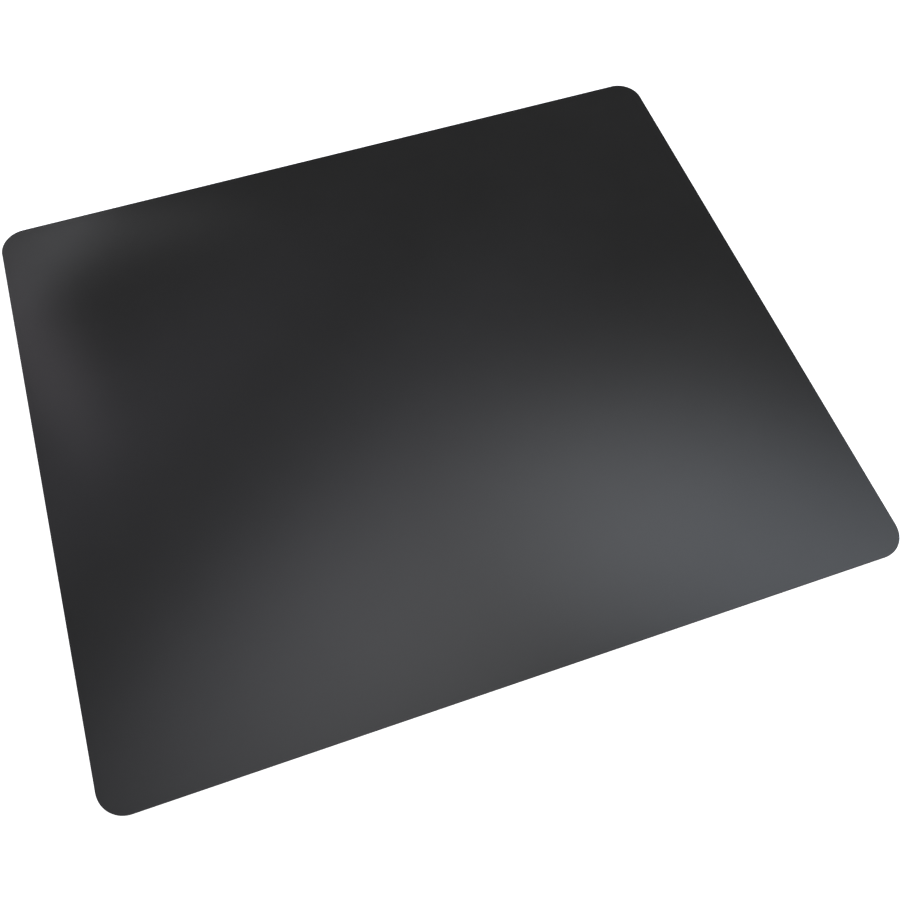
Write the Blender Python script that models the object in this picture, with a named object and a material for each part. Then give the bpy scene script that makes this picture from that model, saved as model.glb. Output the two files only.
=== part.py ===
"""A five-ply self-healing cutting mat, lying flat on its underside.

The mat is a bonded stack of sheets, all cut to one rounded rectangle: a soft PVC face that closes behind
the blade, a polypropylene film, a hard PVC core, a second film, and a soft PVC base that grips the bench.

Lengths are in metres. +X runs along the long sides and +Z is up. The origin is the middle of the underside.
"""

from collections import namedtuple

import bmesh
import bpy

INCH = 0.0254
MILLIMETRE = 0.001

# The outline that every ply is cut to.
MAT_WIDTH = 24 * INCH
MAT_DEPTH = 20 * INCH
CORNER_RADIUS = 21 * MILLIMETRE
CORNER_SEGMENTS = 24

# The stack. The two soft faces share what the core, the films and the bond lines leave.
MAT_THICKNESS = 2.0 * MILLIMETRE
CORE_THICKNESS = 0.40 * MILLIMETRE
FILM_THICKNESS = 0.12 * MILLIMETRE
BOND_LINE = 0.02 * MILLIMETRE
BOND_LINES = 4
FACE_THICKNESS = (MAT_THICKNESS - CORE_THICKNESS - 2 * FILM_THICKNESS - BOND_LINES * BOND_LINE) / 2

# The cut rim. The die rounds the soft faces over, and the hard inner plies stay a little short of them.
RIM_RADIUS = 0.30 * MILLIMETRE
RIM_SEGMENTS = 4
INNER_SETBACK = 0.10 * MILLIMETRE

ROUND_TOP = "top"
ROUND_BOTTOM = "bottom"
SQUARE_CUT = "square"

# A bevel with this profile is a circular arc.
ARC_PROFILE = 0.5
# Two heights closer than this count as one.
SAME_HEIGHT = 0.02 * MILLIMETRE
# Faces that meet at a larger angle than this, in radians, keep a crisp edge between them.
CRISP_ANGLE = 0.6

Finish = namedtuple("Finish", "name colour roughness")
Ply = namedtuple("Ply", "name thickness setback rim finish")

HEALING_PVC = Finish("healing_pvc", (0.022, 0.022, 0.023), 0.42)
TIE_FILM = Finish("tie_film", (0.045, 0.045, 0.048), 0.35)
HARD_PVC = Finish("hard_pvc", (0.030, 0.030, 0.032), 0.50)
GRIP_PVC = Finish("grip_pvc", (0.018, 0.018, 0.019), 0.75)

# From the bench up.
STACK = (
    Ply("base_grip_ply", FACE_THICKNESS, 0.0, ROUND_BOTTOM, GRIP_PVC),
    Ply("lower_film_ply", FILM_THICKNESS, INNER_SETBACK, SQUARE_CUT, TIE_FILM),
    Ply("core_ply", CORE_THICKNESS, INNER_SETBACK, SQUARE_CUT, HARD_PVC),
    Ply("upper_film_ply", FILM_THICKNESS, INNER_SETBACK, SQUARE_CUT, TIE_FILM),
    Ply("top_healing_ply", FACE_THICKNESS, 0.0, ROUND_TOP, HEALING_PVC),
)


def clear_scene():
    for thing in list(bpy.data.objects):
        bpy.data.objects.remove(thing, do_unlink=True)


def material_of(finish):
    """The finish's Principled material, made once and shared by the plies that use it."""
    found = bpy.data.materials.get(finish.name)
    if found:
        return found
    material = bpy.data.materials.new(finish.name)
    material.use_nodes = True
    shader = material.node_tree.nodes["Principled BSDF"]
    shader.inputs["Base Color"].default_value = (*finish.colour, 1.0)
    shader.inputs["Roughness"].default_value = finish.roughness
    shader.inputs["Metallic"].default_value = 0.0
    return material


def add_outline(sheet, setback):
    """One flat face on z = 0: the mat's outline, moved in by setback, with its corners rounded."""
    half_width = MAT_WIDTH / 2 - setback
    half_depth = MAT_DEPTH / 2 - setback
    signs = ((-1, -1), (1, -1), (1, 1), (-1, 1))
    corners = [sheet.verts.new((x * half_width, y * half_depth, 0.0)) for x, y in signs]
    sheet.faces.new(corners)
    bmesh.ops.bevel(
        sheet,
        geom=corners,
        offset=CORNER_RADIUS - setback,
        segments=CORNER_SEGMENTS,
        profile=ARC_PROFILE,
        affect="VERTICES",
    )


def thicken(sheet, thickness):
    """Turns the flat outline into a closed slab from z = 0 up to the thickness."""
    raised = bmesh.ops.extrude_face_region(sheet, geom=sheet.faces[:], use_keep_orig=True)
    top = [item for item in raised["geom"] if isinstance(item, bmesh.types.BMVert)]
    bmesh.ops.translate(sheet, verts=top, vec=(0.0, 0.0, thickness))
    bmesh.ops.recalc_face_normals(sheet, faces=sheet.faces[:])


def round_rim(sheet, height):
    """Rounds over the edges that run round the slab at this height."""
    rim = [edge for edge in sheet.edges if all(abs(end.co.z - height) < SAME_HEIGHT for end in edge.verts)]
    bmesh.ops.bevel(
        sheet,
        geom=rim,
        offset=RIM_RADIUS,
        segments=RIM_SEGMENTS,
        profile=ARC_PROFILE,
        affect="EDGES",
        clamp_overlap=False,
    )


def build_ply(ply, height):
    """One ply as its own object, standing on the given height."""
    sheet = bmesh.new()
    add_outline(sheet, ply.setback)
    thicken(sheet, ply.thickness)
    if ply.rim == ROUND_TOP:
        round_rim(sheet, ply.thickness)
    if ply.rim == ROUND_BOTTOM:
        round_rim(sheet, 0.0)
    mesh = bpy.data.meshes.new(ply.name)
    sheet.to_mesh(mesh)
    sheet.free()
    mesh.materials.append(material_of(ply.finish))
    mesh.shade_smooth()
    mesh.set_sharp_from_angle(angle=CRISP_ANGLE)
    built = bpy.data.objects.new(ply.name, mesh)
    built.location.z = height
    bpy.context.scene.collection.objects.link(built)
    return built


def main():
    clear_scene()
    mat = bpy.data.objects.new("mat", None)
    bpy.context.scene.collection.objects.link(mat)
    height = 0.0
    for ply in STACK:
        build_ply(ply, height).parent = mat
        height += ply.thickness + BOND_LINE


main()
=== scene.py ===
"""The looks of a five-ply self-healing cutting mat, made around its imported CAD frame.

Each ply is replaced by a finer piece of the same size. The die has rolled the rim over, the plies show as
fine lines along the cut edge, and the cutting face keeps the slight waves of a pressed sheet.

Lengths are in metres. +X runs along the long sides, +Z is up, and the mat lies on z = 0.
"""

import math
from collections import namedtuple

import bmesh
import bpy
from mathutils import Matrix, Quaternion, Vector


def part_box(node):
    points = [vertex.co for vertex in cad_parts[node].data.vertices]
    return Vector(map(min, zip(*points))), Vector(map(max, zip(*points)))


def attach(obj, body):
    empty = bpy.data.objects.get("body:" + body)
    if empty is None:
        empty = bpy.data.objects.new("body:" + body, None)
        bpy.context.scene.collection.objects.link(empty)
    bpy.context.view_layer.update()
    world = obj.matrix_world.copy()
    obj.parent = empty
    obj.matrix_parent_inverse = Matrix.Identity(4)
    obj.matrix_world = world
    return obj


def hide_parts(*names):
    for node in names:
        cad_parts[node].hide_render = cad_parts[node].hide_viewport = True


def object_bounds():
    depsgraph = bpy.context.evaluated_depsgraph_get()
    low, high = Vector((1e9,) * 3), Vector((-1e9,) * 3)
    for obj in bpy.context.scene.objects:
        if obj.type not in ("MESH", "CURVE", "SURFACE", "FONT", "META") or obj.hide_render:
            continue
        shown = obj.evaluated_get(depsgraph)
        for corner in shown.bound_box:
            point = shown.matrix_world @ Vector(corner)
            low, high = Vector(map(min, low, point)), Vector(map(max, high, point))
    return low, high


MILLIMETRE = 0.001
MICRON = 0.000001

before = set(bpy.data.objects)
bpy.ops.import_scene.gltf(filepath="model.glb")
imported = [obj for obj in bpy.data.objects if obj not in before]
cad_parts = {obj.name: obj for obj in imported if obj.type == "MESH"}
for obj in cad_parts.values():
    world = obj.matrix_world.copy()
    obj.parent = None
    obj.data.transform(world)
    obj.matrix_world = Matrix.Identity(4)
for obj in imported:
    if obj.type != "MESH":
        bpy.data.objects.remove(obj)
cad_low, cad_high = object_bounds()

# The outline, from the CAD's box and its corner radius.
HALF_WIDTH = cad_high.x
HALF_DEPTH = cad_high.y
CORNER_RADIUS = 21 * MILLIMETRE
CORNER_STEPS = 32

# The rolled-over edge of the two soft faces.
RIM_RADIUS = 0.30 * MILLIMETRE
RIM_STEPS = 8

# The inner plies stop this far short of the soft faces.
INNER_SETBACK = 0.10 * MILLIMETRE

# The nick in a soft face at its bond line: how deep it is, and how far up its mouth and its blend reach.
NICK = 0.03 * MILLIMETRE
NICK_MOUTH = 2 * NICK
NICK_BLEND = 4 * NICK

# An inner ply bulges along its middle. Its shoulders are this share of the way there from its edges, and
# stand out by this share of the bulge.
SHOULDER_RISE = 1 / 3
SHOULDER_BULGE = 0.7

# How far in from the outline the flat faces start, and the part of the cutting face that may wave.
FLAT_MARGIN = 1.0 * MILLIMETRE
WAVE_MARGIN = 10.0 * MILLIMETRE

# The grid on the soft faces, and one cell that is longer than the mat, for the inner plies' flat faces.
CELL = 8 * MILLIMETRE
ONE_CELL = 1.0

# The cutting face's waves: radians per metre along X and Y, a start in radians, and a share of the height.
Wave = namedtuple("Wave", "along_x along_y start share")
PRESS_WAVES = (
    Wave(19, 11, 0.6, 1.0),
    Wave(43, -31, 2.1, 1 / 3),
    Wave(-13, 37, 4.0, 1 / 2),
)

# From trough to crest of a wave whose share is 1, and how far in from the rim the waves take to grow.
WAVE_HEIGHT = 0.06 * MILLIMETRE
WAVE_FADE = 2 * CORNER_RADIUS

RimPoint = namedtuple("RimPoint", "inset height")


# ---------------------------------------------------------------------------------------------------
# Meshes
# ---------------------------------------------------------------------------------------------------


def evenly(low, high, cell):
    """Numbers from low to high, in equal steps of about one cell."""
    steps = max(1, round((high - low) / cell))
    return [low + (high - low) * step / steps for step in range(steps + 1)]


def ring(inset, columns, rows):
    """The outline moved in by inset, as (x, y) points on each grid line and round each corner."""
    x_side = HALF_WIDTH - inset
    y_side = HALF_DEPTH - inset
    x_turn = HALF_WIDTH - CORNER_RADIUS
    y_turn = HALF_DEPTH - CORNER_RADIUS
    radius = CORNER_RADIUS - inset
    arc = [math.pi / 2 * step / CORNER_STEPS for step in range(1, CORNER_STEPS)]
    points = [(x, -y_side) for x in columns]
    points += [(x_turn + radius * math.sin(a), -y_turn - radius * math.cos(a)) for a in arc]
    points += [(x_side, y) for y in rows]
    points += [(x_turn + radius * math.cos(a), y_turn + radius * math.sin(a)) for a in arc]
    points += [(x, y_side) for x in reversed(columns)]
    points += [(-x_turn - radius * math.sin(a), y_turn + radius * math.cos(a)) for a in arc]
    points += [(-x_side, y) for y in reversed(rows)]
    points += [(-x_turn - radius * math.cos(a), -y_turn - radius * math.sin(a)) for a in arc]
    return points


def close_with_grid(sheet, border, height, columns, rows):
    """Fills a ring of vertices with a grid, a strip along each side and a fan at each corner."""
    grid = [[sheet.verts.new((x, y, height)) for x in columns] for y in rows]
    for low, high in zip(grid, grid[1:]):
        for a, b, c, d in zip(low, low[1:], high[1:], high):
            sheet.faces.new((a, b, c, d))
    sides = (
        grid[0],
        [line[-1] for line in grid],
        grid[-1][::-1],
        [line[0] for line in reversed(grid)],
    )
    start = 0
    for side in sides:
        along = border[start : start + len(side)]
        for a, b, c, d in zip(along, along[1:], side[1:], side):
            sheet.faces.new((a, b, c, d))
        start += len(side) - 1
        turn = [border[(start + step) % len(border)] for step in range(CORNER_STEPS + 1)]
        for a, b in zip(turn, turn[1:]):
            sheet.faces.new((a, b, side[-1]))
        start += CORNER_STEPS


def ply_mesh(name, rim, cell):
    """A closed sheet whose edge follows the rim's points, from its underside up and over."""
    columns = evenly(CORNER_RADIUS - HALF_WIDTH, HALF_WIDTH - CORNER_RADIUS, cell)
    rows = evenly(CORNER_RADIUS - HALF_DEPTH, HALF_DEPTH - CORNER_RADIUS, cell)
    sheet = bmesh.new()
    rings = [[sheet.verts.new((x, y, z)) for x, y in ring(inset, columns, rows)] for inset, z in rim]
    for low, high in zip(rings, rings[1:]):
        for a, b, c, d in zip(low, low[1:] + low[:1], high[1:] + high[:1], high):
            sheet.faces.new((a, b, c, d))
    close_with_grid(sheet, rings[0], rim[0].height, columns, rows)
    close_with_grid(sheet, rings[-1], rim[-1].height, columns, rows)
    bmesh.ops.recalc_face_normals(sheet, faces=sheet.faces[:])
    mesh = bpy.data.meshes.new(name)
    sheet.to_mesh(mesh)
    sheet.free()
    mesh.shade_smooth()
    return mesh


def rolled_rim(low, high):
    """The rim of a soft face: a nick where it meets the film, a plain wall and a rolled-over edge."""
    points = [
        RimPoint(FLAT_MARGIN, low),
        RimPoint(INNER_SETBACK, low),
        RimPoint(INNER_SETBACK - NICK, low + NICK / 2),
        RimPoint(NICK / 2, low + NICK_MOUTH),
        RimPoint(0.0, low + NICK_BLEND),
    ]
    for step in range(RIM_STEPS + 1):
        angle = math.pi / 2 * step / RIM_STEPS
        inset = RIM_RADIUS * (1 - math.cos(angle))
        points.append(RimPoint(inset, high - RIM_RADIUS * (1 - math.sin(angle))))
    points += [RimPoint(FLAT_MARGIN, high), RimPoint(WAVE_MARGIN, high)]
    return points


def turned_over(rim, low, high):
    """A rim upside down, from its new underside up."""
    return [RimPoint(point.inset, high - (point.height - low)) for point in reversed(rim)]


def sawn_rim(low, high, proud):
    """The rim of an inner ply: square cut, with its middle standing proud of its edges."""
    middle = (low + high) / 2
    rise = (middle - low) * SHOULDER_RISE
    shoulder = INNER_SETBACK - proud * SHOULDER_BULGE
    return [
        RimPoint(FLAT_MARGIN, low),
        RimPoint(INNER_SETBACK, low),
        RimPoint(shoulder, low + rise),
        RimPoint(INNER_SETBACK - proud, middle),
        RimPoint(shoulder, high - rise),
        RimPoint(INNER_SETBACK, high),
        RimPoint(FLAT_MARGIN, high),
    ]


def smoothstep(share):
    """0 up to a share of 0, 1 from a share of 1, and an even S between them."""
    inside = min(max(share, 0.0), 1.0)
    return inside * inside * (3 - 2 * inside)


def press_waves(mesh, height):
    """Gives the face at this height the long, shallow waves of a pressed sheet, still at its rim."""
    for vertex in mesh.vertices:
        x, y, z = vertex.co
        if abs(z - height) > NICK:
            continue
        edge = min(HALF_WIDTH - abs(x), HALF_DEPTH - abs(y))
        fade = smoothstep((edge - FLAT_MARGIN) / WAVE_FADE)
        swell = 0.0
        for wave in PRESS_WAVES:
            swell += wave.share * math.sin(wave.along_x * x + wave.along_y * y + wave.start)
        vertex.co.z = height + WAVE_HEIGHT / 2 * swell * fade


# ---------------------------------------------------------------------------------------------------
# Materials
# ---------------------------------------------------------------------------------------------------

# Nearly all of a noise texture lies between these.
NOISE_LOW = 0.3
NOISE_HIGH = 0.7

# A stretch that draws noise out along Z.
UPRIGHT = (1.0, 1.0, 0.1)

# How far a surface's normal points up or down, on a cut wall and on a flat face.
WALL_SLOPE = 0.3
FACE_SLOPE = 0.9

# The cutting face: its colour, its sheen and how that drifts, and its grain.
FACE_DARK = (0.0245, 0.0243, 0.0238)
FACE_LIGHT = (0.0265, 0.0263, 0.0258)
FACE_CLOUD = 45 * MILLIMETRE
FACE_SHINY = 0.118
FACE_DULL = 0.132
FACE_DRIFT = 120 * MILLIMETRE
SPECKLE = 0.35 * MILLIMETRE
SPECKLE_STRENGTH = 0.008
PORE = 0.40 * MILLIMETRE
PORE_DEPTH = 5 * MICRON

# The wall that the die cut through the two soft faces.
WALL_COLOUR = (0.027, 0.027, 0.028)
WALL_ROUGHNESS = 0.45
WALL_SCORE = 0.20 * MILLIMETRE
WALL_SCORE_DEPTH = 8 * MICRON

# The grip: the crests of its pebbles, the shade painted into the hollows between them, and its sheen.
PEBBLE = 0.9 * MILLIMETRE
PEBBLE_HEIGHT = 40 * MICRON
CREST_COLOUR = (0.017, 0.017, 0.018)
# Painted shade: the colour of the hollows between the pebbles, darker than the crests.
PAINTED_HOLLOW_SHADE = (0.012, 0.012, 0.012)
GRIP_SHINY = 0.60
GRIP_DULL = 0.65
GRIP_DRIFT = 60 * MILLIMETRE

# An inner ply shows only its scored edge. Its dark colour is painted shade in the grooves of the scores,
# and its light colour lies on their ridges.
ScoredEdge = namedtuple("ScoredEdge", "dark light score depth shiny dull drift")
FILM_EDGE = ScoredEdge(
    dark=(0.040, 0.040, 0.043),
    light=(0.050, 0.050, 0.053),
    score=0.15 * MILLIMETRE,
    depth=3 * MICRON,
    shiny=0.30,
    dull=0.40,
    drift=4 * MILLIMETRE,
)
CORE_EDGE = ScoredEdge(
    dark=(0.026, 0.026, 0.028),
    light=(0.034, 0.034, 0.036),
    score=0.25 * MILLIMETRE,
    depth=6 * MICRON,
    shiny=0.45,
    dull=0.55,
    drift=6 * MILLIMETRE,
)


def node(tree, kind, inputs, **settings):
    """A new shader node, with its settings, and its inputs set to a value or linked to a socket."""
    made = tree.nodes.new("ShaderNode" + kind)
    for name, value in settings.items():
        setattr(made, name, value)
    for name, value in inputs.items():
        if isinstance(value, bpy.types.NodeSocket):
            tree.links.new(value, made.inputs[name])
        else:
            made.inputs[name].default_value = value
    return made


def place(tree, stretch=(1.0, 1.0, 1.0)):
    """Where a point is on the mat, in metres, with each axis stretched."""
    where = node(tree, "TexCoord", {}).outputs["Object"]
    return node(tree, "Mapping", {"Vector": where, "Scale": stretch}).outputs["Vector"]


def noise(tree, where, size, detail, low, high):
    """Soft noise with features of the given size, as a number that mostly stays between low and high."""
    cloud = node(tree, "TexNoise", {"Vector": where, "Scale": 1 / size, "Detail": detail})
    spread = {"Value": cloud.outputs["Fac"], "From Min": NOISE_LOW, "From Max": NOISE_HIGH}
    return node(tree, "MapRange", {**spread, "To Min": low, "To Max": high}).outputs["Result"]


def scores(tree, size, depth):
    """The upright lines that a blade leaves on a cut wall, as a height."""
    return noise(tree, place(tree, UPRIGHT), size, detail=3.0, low=0.0, high=depth)


def cut_share(tree):
    """1 on the upright wall that the die cut, and 0 on the flat faces."""
    normal = node(tree, "TexCoord", {}).outputs["Normal"]
    upward = node(tree, "SeparateXYZ", {"Vector": normal}).outputs["Z"]
    flatness = node(tree, "Math", {0: upward}, operation="ABSOLUTE").outputs[0]
    slopes = {"Value": flatness, "From Min": WALL_SLOPE, "From Max": FACE_SLOPE}
    turn = {**slopes, "To Min": 1.0, "To Max": 0.0}
    return node(tree, "MapRange", turn, interpolation_type="SMOOTHSTEP").outputs["Result"]


def blend(tree, share, first, second):
    """A number that goes from first to second as the share goes from 0 to 1."""
    return node(tree, "MapRange", {"Value": share, "To Min": first, "To Max": second}).outputs["Result"]


def blend_colours(tree, share, first, second):
    """A colour that goes from first to second as the share goes from 0 to 1."""
    mix = node(tree, "Mix", {}, data_type="RGBA")
    sockets = {socket.name: socket for socket in mix.inputs if socket.enabled}
    for name, value in (("Factor", share), ("A", first), ("B", second)):
        if isinstance(value, bpy.types.NodeSocket):
            tree.links.new(value, sockets[name])
        else:
            sockets[name].default_value = (*value, 1.0)
    return next(socket for socket in mix.outputs if socket.enabled)


def add(tree, first, second):
    """The sum of two numbers."""
    return node(tree, "Math", {0: first, 1: second}, operation="ADD").outputs[0]


def relief(tree, height):
    """A bump whose height is in metres."""
    return node(tree, "Bump", {"Height": height, "Strength": 1.0, "Distance": 1.0}).outputs["Normal"]


def material(name, paint):
    """A Principled material that paint() fills in."""
    made = bpy.data.materials.new(name)
    made.use_nodes = True
    tree = made.node_tree
    paint(tree, tree.nodes["Principled BSDF"])
    return made


def put(tree, shader, **values):
    """Sets or links the shader's inputs, whose names are written here with _ for a space."""
    for name, value in values.items():
        socket = shader.inputs[name.replace("_", " ")]
        if isinstance(value, bpy.types.NodeSocket):
            tree.links.new(value, socket)
        else:
            socket.default_value = value


def wall_scores(tree):
    """The scores on the soft faces' cut wall, as a height."""
    return scores(tree, WALL_SCORE, WALL_SCORE_DEPTH)


def healing_pvc(tree, shader):
    """Satin black PVC: a very fine grain, a slow drift in its sheen, and a duller cut wall."""
    where = place(tree)
    cut = cut_share(tree)
    cloud = noise(tree, where, FACE_CLOUD, detail=4.0, low=0.0, high=1.0)
    face_colour = blend_colours(tree, cloud, FACE_DARK, FACE_LIGHT)
    drift = noise(tree, where, FACE_DRIFT, detail=2.0, low=FACE_SHINY, high=FACE_DULL)
    speckle = noise(tree, where, SPECKLE, detail=1.0, low=-SPECKLE_STRENGTH, high=SPECKLE_STRENGTH)
    pores = noise(tree, where, PORE, detail=2.0, low=0.0, high=PORE_DEPTH)
    put(
        tree,
        shader,
        Base_Color=blend_colours(tree, cut, face_colour, WALL_COLOUR),
        Roughness=blend(tree, cut, add(tree, drift, speckle), WALL_ROUGHNESS),
        Normal=relief(tree, blend(tree, cut, pores, wall_scores(tree))),
    )


def grip_pvc(tree, shader):
    """Dull black PVC with the pebbled grain that keeps the mat from sliding, painted shade in the hollows
    between the pebbles, and a scored cut wall.
    """
    where = place(tree)
    cut = cut_share(tree)
    cells = node(tree, "TexVoronoi", {"Vector": where, "Scale": 1 / PEBBLE}, feature="SMOOTH_F1")
    hollows = cells.outputs["Distance"]
    pebbles = blend(tree, hollows, 0.0, -PEBBLE_HEIGHT)
    put(
        tree,
        shader,
        # Painted shade: the base colour darkens from the crests into the hollows between the pebbles.
        Base_Color=blend_colours(tree, hollows, CREST_COLOUR, PAINTED_HOLLOW_SHADE),
        Roughness=noise(tree, where, GRIP_DRIFT, detail=3.0, low=GRIP_SHINY, high=GRIP_DULL),
        Normal=relief(tree, blend(tree, cut, pebbles, wall_scores(tree))),
    )


def scored_edge(tree, shader, edge):
    """The edge of an inner ply, scored upright where the die cut it, with painted shade darker in the
    grooves of the scores.
    """
    lines = scores(tree, edge.score, 1.0)
    put(
        tree,
        shader,
        # Painted shade: the colour follows the scores' height, darker in their grooves and lighter on their
        # ridges.
        Base_Color=blend_colours(tree, lines, edge.dark, edge.light),
        Roughness=noise(tree, place(tree), edge.drift, detail=2.0, low=edge.shiny, high=edge.dull),
        Normal=relief(tree, scores(tree, edge.score, edge.depth)),
    )


def tie_film(tree, shader):
    """Smoky polypropylene film."""
    scored_edge(tree, shader, FILM_EDGE)


def hard_pvc(tree, shader):
    """Dark grey rigid PVC."""
    scored_edge(tree, shader, CORE_EDGE)


# ---------------------------------------------------------------------------------------------------
# The mat
# ---------------------------------------------------------------------------------------------------

Ply = namedtuple("Ply", "piece cad_node slot rim cell")

PAINTERS = {
    "healing_pvc": healing_pvc,
    "tie_film": tie_film,
    "hard_pvc": hard_pvc,
    "grip_pvc": grip_pvc,
}


def span(cad_node):
    """The heights that a CAD ply reaches from and to."""
    low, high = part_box(cad_node)
    return low.z, high.z


def build_mat():
    """Makes the five plies, from the bench up. An inner ply fills the gap between its neighbours."""
    base_low, base_high = span("base_grip_ply")
    core_low, core_high = span("core_ply")
    top_low, top_high = span("top_healing_ply")
    base_rim = turned_over(rolled_rim(base_low, base_high), base_low, base_high)
    lower_rim = sawn_rim(base_high, core_low, NICK)
    core_rim = sawn_rim(core_low, core_high, 2 * NICK)
    upper_rim = sawn_rim(core_high, top_low, NICK)
    top_rim = rolled_rim(top_low, top_high)
    plies = (
        Ply("base_grip_face", "base_grip_ply", "grip_pvc", base_rim, CELL),
        Ply("lower_tie_film", "lower_film_ply", "tie_film", lower_rim, ONE_CELL),
        Ply("hard_core", "core_ply", "hard_pvc", core_rim, ONE_CELL),
        Ply("upper_tie_film", "upper_film_ply", "tie_film", upper_rim, ONE_CELL),
        Ply("top_healing_face", "top_healing_ply", "healing_pvc", top_rim, CELL),
    )
    looks = {slot: material(slot, paint) for slot, paint in PAINTERS.items()}
    for ply in plies:
        mesh = ply_mesh(ply.piece, ply.rim, ply.cell)
        if ply.piece == "top_healing_face":
            press_waves(mesh, top_high)
        mesh.materials.append(looks[ply.slot])
        piece = bpy.data.objects.new(ply.piece, mesh)
        bpy.context.scene.collection.objects.link(piece)
        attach(piece, "root")
        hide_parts(ply.cad_node)


# ---------------------------------------------------------------------------------------------------
# The stage
# ---------------------------------------------------------------------------------------------------

TOP = Vector((0.0, 0.0, cad_high.z))

# Where the camera is and what it looks at, from the middle of the cutting face. The roll is in degrees, the
# lens in millimetres, and the shift in frame widths.
CAMERA_PLACE = TOP + Vector((-0.1311, -0.3668, 0.6731))
CAMERA_AIM = TOP + Vector((-0.0184, -0.0471, 0.0))
CAMERA_ROLL = 1.08
CAMERA_LENS = 38.04
CAMERA_SHIFT = (0.0389, -0.0167)
NEAREST_SEEN = 0.01
FARTHEST_SEEN = 200

# The softboxes all hang this far from the mat's middle, and face it.
LIGHT_DISTANCE = 2.5

# A light's own coordinates run from 0 to 1 across it, so an oval reaches half of that from its middle.
LIGHT_MIDDLE = (0.5, 0.5, 0.0)
LIGHT_REACH = 0.5

Softbox = namedtuple("Softbox", "name azimuth elevation width height roll radiance tint")

# Azimuth is a compass bearing from +Y towards +X. A radiance of 1 looks as bright as white paper.
# Each box is an oval that is brightest in its middle and fades to nothing at its edge. The key is behind
# the camera, and the mat reflects the others.
SOFTBOXES = (
    Softbox("key_box", -160, 52, 5.0, 4.0, 0, 0.84, (0.98, 0.98, 1.04)),
    Softbox("window_box", 90.5, 55, 3.5, 1.5, 46, 2.0, (0.915, 0.987, 1.098)),
    Softbox("right_top_box", 40, 78, 3.8, 1.75, 63, 1.29, (0.972, 0.989, 1.039)),
    Softbox("left_top_box", -10.5, 73, 4.0, 1.35, 25, 0.53, (0.95, 0.96, 1.09)),
    Softbox("left_fill", -36.5, 56.7, 4.0, 0.81, -5, 0.30, (0.95, 0.93, 1.12)),
    Softbox("left_strip", -26.6, 48.6, 0.40, 1.05, -11, 0.86, (1.01, 0.94, 1.05)),
    Softbox("corner_strip", -20, 43.6, 0.76, 0.15, 16, 1.48, (0.97, 0.98, 1.05)),
    Softbox("far_strip", -19, 41.7, 1.9, 0.22, -23.5, 0.80, (0.98, 0.99, 1.03)),
)

# The room is dim, and what shows behind the table is a plain white wall.
ROOM_RADIANCE = 0.175
WALL_RADIANCE = 1.10

# The table is white, and lit a little from below.
TABLE_SIZE = 60
TABLE_COLOUR = (0.90, 0.90, 0.90)
TABLE_GLOW = 0.95

WHITE = (1.0, 1.0, 1.0, 1.0)


def bearing(azimuth, elevation):
    """The unit vector towards a compass bearing and an elevation, in degrees."""
    turn = math.radians(azimuth)
    rise = math.radians(elevation)
    return Vector((math.cos(rise) * math.sin(turn), math.cos(rise) * math.cos(turn), math.sin(rise)))


def facing(direction, roll):
    """The rotation that points -Z along the direction, with +Y up, and then rolls by some degrees."""
    level = direction.to_track_quat("-Z", "Y")
    return level @ Quaternion((0, 0, 1), math.radians(roll))


def add_to_scene(name, data):
    """A new object in the scene, turned by a quaternion."""
    made = bpy.data.objects.new(name, data)
    made.rotation_mode = "QUATERNION"
    bpy.context.scene.collection.objects.link(made)
    return made


def make_camera():
    """The camera, which looks down from the left of the near edge."""
    data = bpy.data.cameras.new("camera")
    data.lens = CAMERA_LENS
    data.shift_x, data.shift_y = CAMERA_SHIFT
    data.clip_start = NEAREST_SEEN
    data.clip_end = FARTHEST_SEEN
    camera = add_to_scene("camera", data)
    camera.location = CAMERA_PLACE
    camera.rotation_quaternion = facing(CAMERA_AIM - CAMERA_PLACE, CAMERA_ROLL)
    bpy.context.scene.camera = camera


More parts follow.
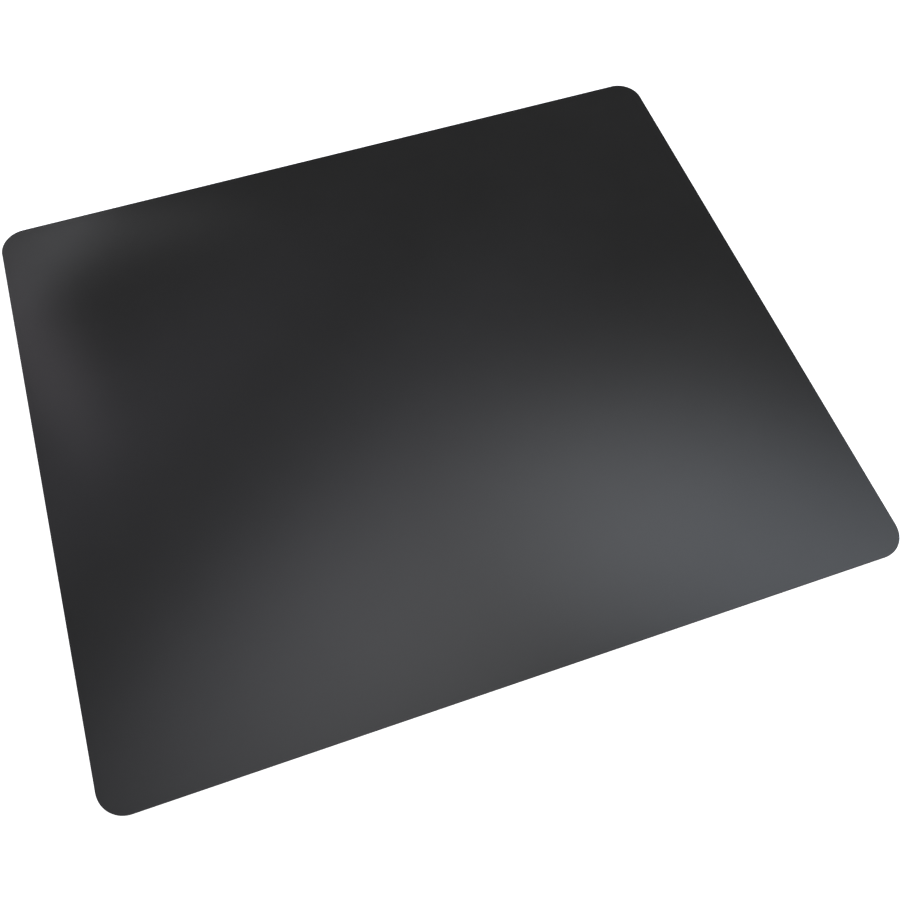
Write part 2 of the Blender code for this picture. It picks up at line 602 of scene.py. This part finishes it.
def make_softbox(box):
    """An oval light that fades smoothly from its middle to its edge, and that the camera can't see."""
    data = bpy.data.lights.new(box.name, "AREA")
    data.shape = "ELLIPSE"
    data.size = box.width
    data.size_y = box.height
    area = math.pi / 4 * box.width * box.height
    data.energy = box.radiance * math.pi * area
    data.color = box.tint
    data.use_nodes = True
    tree = data.node_tree
    spot = node(tree, "NewGeometry", {}).outputs["Parametric"]
    offset = node(tree, "VectorMath", {0: spot, 1: LIGHT_MIDDLE}, operation="DISTANCE")
    reach = offset.outputs["Value"]
    fall = {"Value": reach, "From Min": 0.0, "From Max": LIGHT_REACH, "To Min": 1.0, "To Max": 0.0}
    glow = node(tree, "MapRange", fall, interpolation_type="SMOOTHSTEP").outputs["Result"]
    tree.links.new(glow, tree.nodes["Emission"].inputs["Strength"])
    light = add_to_scene(box.name, data)
    towards = bearing(box.azimuth, box.elevation)
    light.location = TOP + towards * LIGHT_DISTANCE
    light.rotation_quaternion = facing(-towards, box.roll)
    light.visible_camera = False


def make_world():
    """A dim room that the camera sees as a plain white wall."""
    world = bpy.data.worlds.new("studio")
    world.use_nodes = True
    tree = world.node_tree
    seen = node(tree, "LightPath", {}).outputs["Is Camera Ray"]
    levels = {"Value": seen, "To Min": ROOM_RADIANCE, "To Max": WALL_RADIANCE}
    strength = node(tree, "MapRange", levels).outputs["Result"]
    background = tree.nodes["Background"]
    background.inputs["Color"].default_value = WHITE
    tree.links.new(strength, background.inputs["Strength"])
    bpy.context.scene.world = world


def make_table():
    """A plain white table that reaches far past the view."""
    sheet = bmesh.new()
    bmesh.ops.create_grid(sheet, x_segments=1, y_segments=1, size=TABLE_SIZE / 2)
    mesh = bpy.data.meshes.new("table")
    sheet.to_mesh(mesh)
    sheet.free()
    paint = bpy.data.materials.new("white_table")
    paint.use_nodes = True
    put(
        paint.node_tree,
        paint.node_tree.nodes["Principled BSDF"],
        Base_Color=(*TABLE_COLOUR, 1.0),
        Roughness=1.0,
        Specular_IOR_Level=0.0,
        Emission_Color=WHITE,
        Emission_Strength=TABLE_GLOW,
    )
    mesh.materials.append(paint)
    add_to_scene("table", mesh)


make_camera()
build_mat()
make_table()
make_world()
for softbox in SOFTBOXES:
    make_softbox(softbox)
bpy.context.scene.view_settings.view_transform = "Standard"
